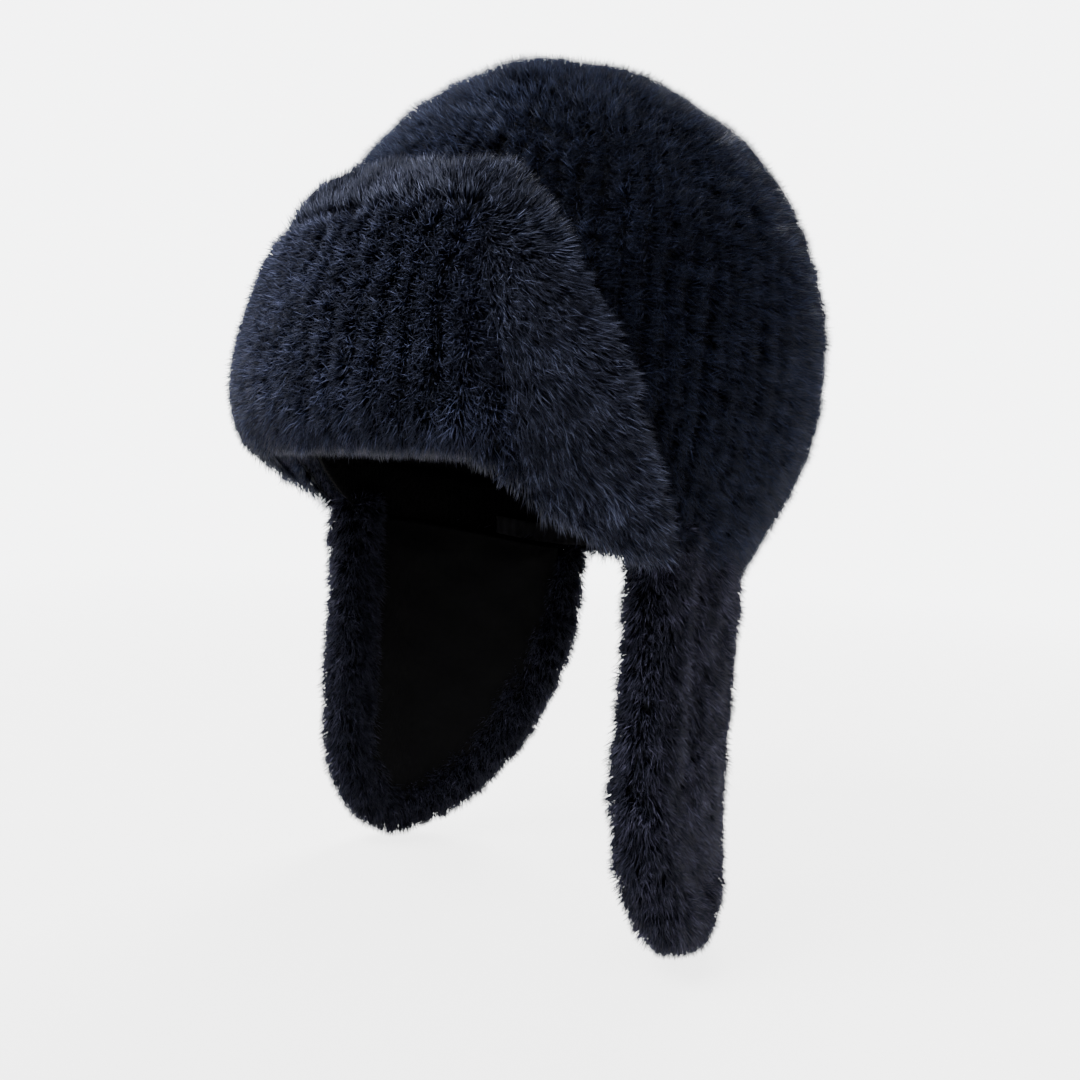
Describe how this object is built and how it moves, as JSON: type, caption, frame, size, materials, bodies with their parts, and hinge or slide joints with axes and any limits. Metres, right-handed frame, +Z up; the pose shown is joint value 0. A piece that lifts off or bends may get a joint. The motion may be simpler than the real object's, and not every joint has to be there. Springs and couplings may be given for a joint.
{
  "type": "trapper hat",
  "caption": "Fur trapper hat with a padded, lined crown, a turned-up front flap that tips forward over the brow, and two long ear flaps that hang or fold up.",
  "frame": {"origin": "middle of the head opening, at the height of the back hem", "axes": "+Z up, -Y towards the wearer's front, +X towards the wearer's left"},
  "size_m": [0.2116, 0.2508, 0.331],
  "materials": {
    "crown_fur": "blue-black knitted fur, soft sheen, pile 8 to 10 mm, in fore-and-aft ribs",
    "flap_fur": "blue-black knitted fur, pile 8 to 10 mm splaying sideways out of narrow ribs",
    "edge_fur": "blue-black fur along the edges, pile fanning outward, paler tips",
    "lining": "black satin-faced lining, fine weave",
    "wadding": "white polyester wadding",
    "interlining": "white non-woven stiffening sheet",
    "knit": "black ribbed knit band",
    "elastic": "black woven elastic",
    "label": "plain grey woven label with nothing printed on it"
  },
  "bodies": {
    "crown": {"crown_panel_front_left": "crown_fur", "crown_panel_side_left": "crown_fur", "crown_panel_back_left": "crown_fur", "crown_panel_front_right": "crown_fur", "crown_panel_side_right": "crown_fur", "crown_panel_back_right": "crown_fur", "crown_padding": "wadding", "lining_panel_front": "lining", "lining_panel_left": "lining", "lining_panel_right": "lining", "lining_panel_back": "lining", "hem_binding": "edge_fur", "sweatband": "knit", "rear_elastic": "elastic", "inner_label": "label"},
    "front_flap": {"front_flap_fur_panel": "flap_fur", "front_flap_edge_band": "edge_fur", "front_flap_interlining": "interlining", "front_flap_backing": "lining"},
    "left_ear_flap": {"left_ear_fur_panel": "flap_fur", "left_ear_edge_roll": "edge_fur", "left_ear_wadding": "wadding", "left_ear_lining": "lining"},
    "right_ear_flap": {"right_ear_fur_panel": "flap_fur", "right_ear_edge_roll": "edge_fur", "right_ear_wadding": "wadding", "right_ear_lining": "lining"}
  },
  "joints": [
    {"name": "front_flap_fold", "type": "hinge", "parent": "crown", "child": "front_flap", "pos_m": [0, -0.028, 0.014], "axis": [1, 0, 0], "range_deg": [0, 40]},
    {"name": "left_ear_fold", "type": "hinge", "parent": "crown", "child": "left_ear_flap", "pos_m": [0.09848, 0.01736, 0.01], "axis": [0.1736, -0.9848, 0], "range_deg": [-8, 165]},
    {"name": "right_ear_fold", "type": "hinge", "parent": "crown", "child": "right_ear_flap", "pos_m": [-0.09848, 0.01736, 0.01], "axis": [0.1736, 0.9848, 0], "range_deg": [-8, 165]}
  ]
}
